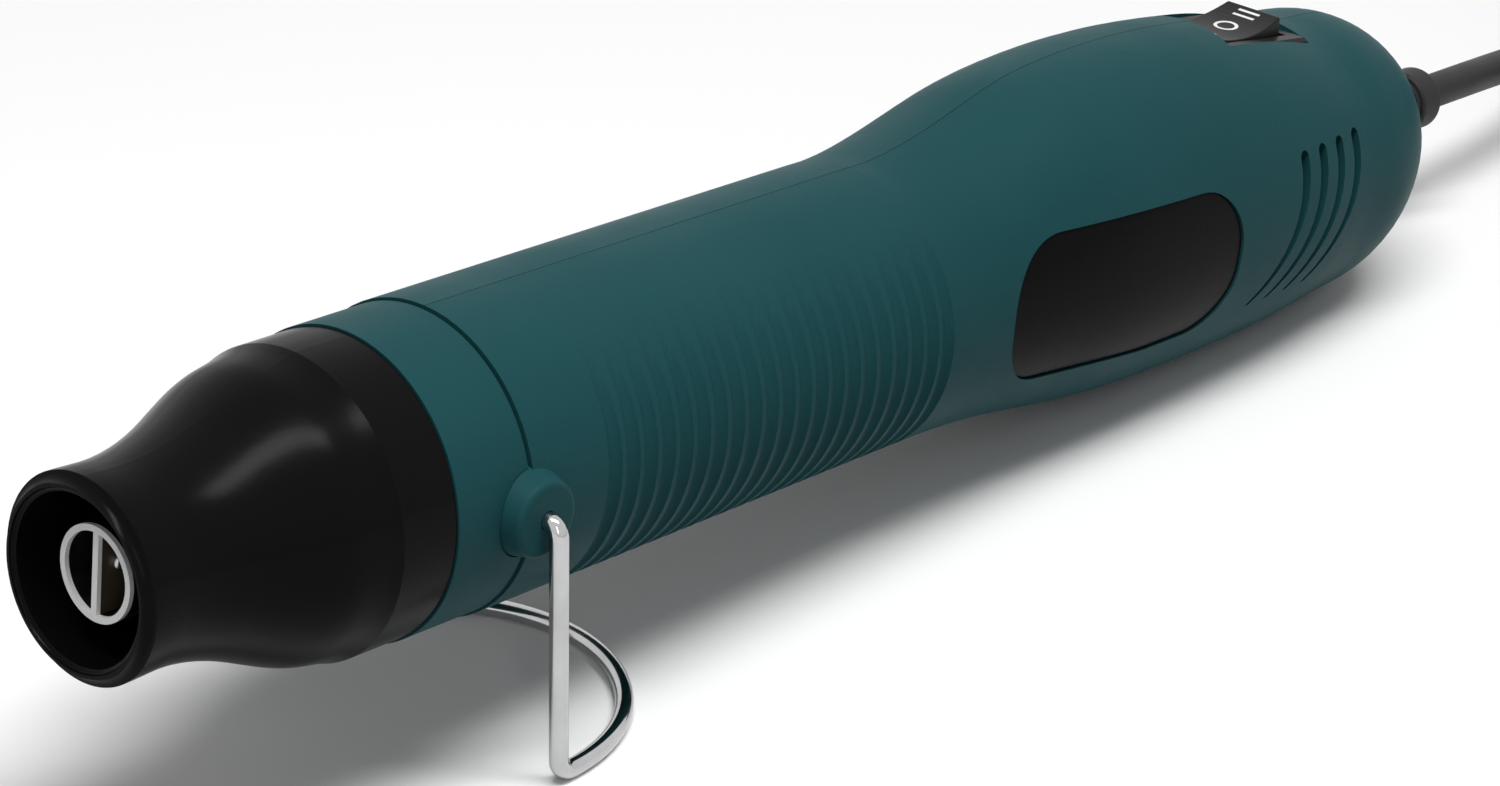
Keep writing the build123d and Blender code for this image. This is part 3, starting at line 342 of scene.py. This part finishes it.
def at_rocker(along, across, height):
    """A point of the rocker's own axes, in millimetres from its pivot, on the table in metres."""
    return ROCKER_PIVOT + ROCKER_TURN @ (Vector((along, across, height)) * MM)


def rocker_top(along):
    return HOLLOW_HEIGHT + along ** 2 / (2 * HOLLOW_RADIUS)


def on_rocker(along, across, above):
    return at_rocker(along, across, rocker_top(along) + above)


def rocker_half_width(along):
    """Half the rocker's width, which bows out in plan towards the pivot."""
    return (MIDDLE_WIDTH - (MIDDLE_WIDTH - END_WIDTH) * (along / SKIRT_PLACE) ** 2) / 2


def add_piece(name, mesh, body, look):
    data = bpy.data.meshes.new(name)
    bmesh.ops.recalc_face_normals(mesh, faces=mesh.faces[:])
    mesh.to_mesh(data)
    mesh.free()
    piece = bpy.data.objects.new(name, data)
    bpy.context.scene.collection.objects.link(piece)
    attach(piece, body)
    data.materials.append(look)
    return piece


# side profile, clockwise from the front crest. Each place of the top has one under it, so that a
# flank is made of upright strips that follow its bow
profile = [(place, rocker_top(place)) for place in TOP_PLACES]
profile += [(SKIRT_PLACE, SKIRT_TOP), (SKIRT_PLACE, SKIRT_LOW)]
profile += [(place, BOTTOM_HEIGHT) for place in BOTTOM_PLACES]
profile += [(-SKIRT_PLACE, SKIRT_LOW), (-SKIRT_PLACE, SKIRT_TOP)]
rocker_mesh = bmesh.new()
flanks = [
    [rocker_mesh.verts.new(at_rocker(u, side * rocker_half_width(u), v)) for u, v in profile]
    for side in (-1, 1)
]
for i in range(len(profile)):
    j = (i + 1) % len(profile)
    rocker_mesh.faces.new((flanks[0][i], flanks[0][j], flanks[1][j], flanks[1][i]))
for flank in flanks:
    for i in range(len(TOP_PLACES) - 1):
        low = len(profile) - 1 - i
        rocker_mesh.faces.new((flank[i], flank[i + 1], flank[low - 1], flank[low]))
rocker_piece = add_piece("rocker", rocker_mesh, "rocker", looks["switch_black"])
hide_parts("switch_rocker")
soften = rocker_piece.modifiers.new("edges", "BEVEL")
soften.width = EDGE_ROUND * MM
soften.segments = 3
soften.limit_method = "ANGLE"
soften.angle_limit = EDGE_ANGLE


def printed(name, outline, inner=None):
    """A thin closed print that follows the rocker's top: a filled outline, or a ring of two."""
    mesh = bmesh.new()
    loops = [outline] + ([inner] if inner else [])
    low = [[mesh.verts.new(on_rocker(*point, -PRINT_SUNK)) for point in loop] for loop in loops]
    top = [[mesh.verts.new(on_rocker(*point, PRINT_PROUD)) for point in loop] for loop in loops]
    count = len(outline)
    for i in range(count):
        j = (i + 1) % count
        mesh.faces.new((low[0][i], low[0][j], top[0][j], top[0][i]))
        if inner:
            mesh.faces.new((low[1][j], low[1][i], top[1][i], top[1][j]))
            mesh.faces.new((top[0][i], top[0][j], top[1][j], top[1][i]))
            mesh.faces.new((low[0][j], low[0][i], low[1][i], low[1][j]))
    if not inner:
        mesh.faces.new(top[0])
        mesh.faces.new(list(reversed(low[0])))
    add_piece(name, mesh, "rocker", looks["mark_white"])


def circle(radius):
    angles = [2 * pi * i / RING_POINTS for i in range(RING_POINTS)]
    return [(radius * cos(angle), radius * sin(angle)) for angle in angles]


BAR_CORNERS = ((-1, -1), (1, -1), (1, 1), (-1, 1))
for name, place in BAR_PLACES.items():
    printed(name, [(place + u * BAR_HALF_WIDTH, w * BAR_HALF_LENGTH) for u, w in BAR_CORNERS])
printed("mark_off", *map(circle, RING_RADII))

# ---------------------------------------------------------------- floor and light
FLOOR_REACH = 6
FLOOR_SEEN = ((0.93, 0.93, 0.93), (0.95, 0.95, 0.95))
# the floor throws less light up on the object than its pale colour would
FLOOR_DIM = ((0.40, 0.40, 0.40), (0.42, 0.42, 0.42))
# the sky's level, and the heights between which it rises
SKY_LOW, SKY_HIGH = 0.06, 0.30
SKY_START, SKY_END = 0.10, 0.70


def seen_rays(tree):
    """One for the rays that show the background: to the camera, in gloss and through glass."""
    rays = node(tree, "ShaderNodeLightPath")
    shown = rays.outputs["Is Camera Ray"]
    for kind in ("Is Glossy Ray", "Is Transmission Ray"):
        either = node(tree, "ShaderNodeMath", operation="MAXIMUM")
        tree.links.new(shown, either.inputs[0])
        tree.links.new(rays.outputs[kind], either.inputs[1])
        shown = either.outputs["Value"]
    return shown


floor_corners = [
    (x * FLOOR_REACH, y * FLOOR_REACH, 0) for x, y in ((-1, -1), (1, -1), (1, 1), (-1, 1))
]
floor_mesh = bpy.data.meshes.new("floor")
floor_mesh.from_pydata(floor_corners, [], [(0, 1, 2, 3)])
floor = bpy.data.objects.new("floor", floor_mesh)
bpy.context.scene.collection.objects.link(floor)
floor_look, floor_tree, floor_shader = material("floor_pale")
floor_tone = spread(floor_tree, noise(floor_tree, 3, 3), 0, 1)
dim_input, seen_input, floor_colour = colour_mix(floor_tree, seen_rays(floor_tree))
floor_tree.links.new(blend_colours(floor_tree, floor_tone, *FLOOR_DIM), dim_input)
floor_tree.links.new(blend_colours(floor_tree, floor_tone, *FLOOR_SEEN), seen_input)
floor_tree.links.new(floor_colour, floor_shader.inputs["Base Color"])
floor_shader.inputs["Roughness"].default_value = 0.7
floor.data.materials.append(floor_look)

world = bpy.data.worlds.new("studio")
bpy.context.scene.world = world
world.use_nodes = True
sky = world.node_tree
sky_shader = sky.nodes["Background"]
sky_shader.inputs["Strength"].default_value = 1.0
sky_place = node(sky, "ShaderNodeTexCoord")
sky_parts = node(sky, "ShaderNodeSeparateXYZ")
sky.links.new(sky_place.outputs["Generated"], sky_parts.inputs["Vector"])
sky_level = spread(sky, sky_parts.outputs["Z"], SKY_LOW, SKY_HIGH, SKY_START, SKY_END)
sky_white = node(sky, "ShaderNodeMath", operation="MAXIMUM")
sky.links.new(sky_level, sky_white.inputs[0])
sky.links.new(seen_rays(sky), sky_white.inputs[1])
sky.links.new(sky_white.outputs["Value"], sky_shader.inputs["Color"])


def soft_light(name, place, target, size, power):
    data = bpy.data.lights.new(name, "AREA")
    data.shape = "RECTANGLE"
    data.size, data.size_y = size
    data.energy = power
    light = bpy.data.objects.new(name, data)
    light.location = place
    light.rotation_mode = "QUATERNION"
    light.rotation_quaternion = (Vector(target) - Vector(place)).to_track_quat("-Z", "Y")
    bpy.context.scene.collection.objects.link(light)


# place and target in metres, size in metres, power in watts
soft_light("key", (-0.15, -0.25, 1.1), (0, 0, 0.03), (1.0, 0.24), 13)
soft_light("side", (-0.75, -0.75, 0.55), (-0.05, 0, 0.03), (0.2, 0.6), 1.2)

bpy.context.scene.view_settings.view_transform = "Standard"
